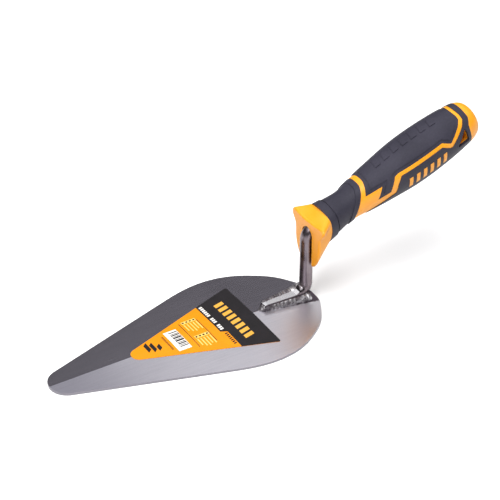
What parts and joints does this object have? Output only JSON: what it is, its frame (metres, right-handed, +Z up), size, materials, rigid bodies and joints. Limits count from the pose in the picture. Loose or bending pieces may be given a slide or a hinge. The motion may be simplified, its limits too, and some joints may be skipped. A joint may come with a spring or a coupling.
{
  "type": "brick trowel",
  "caption": "Pointing and bricklaying trowel with a ridged steel blade, a cranked round tang and an overmoulded two-colour grip.",
  "frame": {"origin": "middle of the whole tool's bounding box in X and Y, on the surface that the blade lies on", "axes": "+X from the blade's tip to the butt of the handle, +Z up from the blade, and the XZ plane is the tool's mirror plane"},
  "size_m": [0.2934, 0.0908, 0.1029],
  "materials": {
    "blade_steel": "polished sheet steel with fine lengthwise grinding",
    "rod_steel": "smooth drawn bar, satin",
    "weld_metal": "rippled weld bead, partly ground",
    "core_plastic": "semi-gloss moulded plastic",
    "soft_grip": "matt soft-touch rubber",
    "label_film": "printed gloss film"
  },
  "bodies": {
    "root": {"blade": "blade_steel", "tang_rod": "rod_steel", "weld_bead_right": "weld_metal", "weld_bead_left": "weld_metal", "weld_toe": "weld_metal", "handle_core": "core_plastic", "neck_grip_sleeve": "soft_grip", "thumb_grip_panel": "soft_grip", "palm_grip_shell": "soft_grip", "label_sticker": "label_film"}
  },
  "joints": []
}
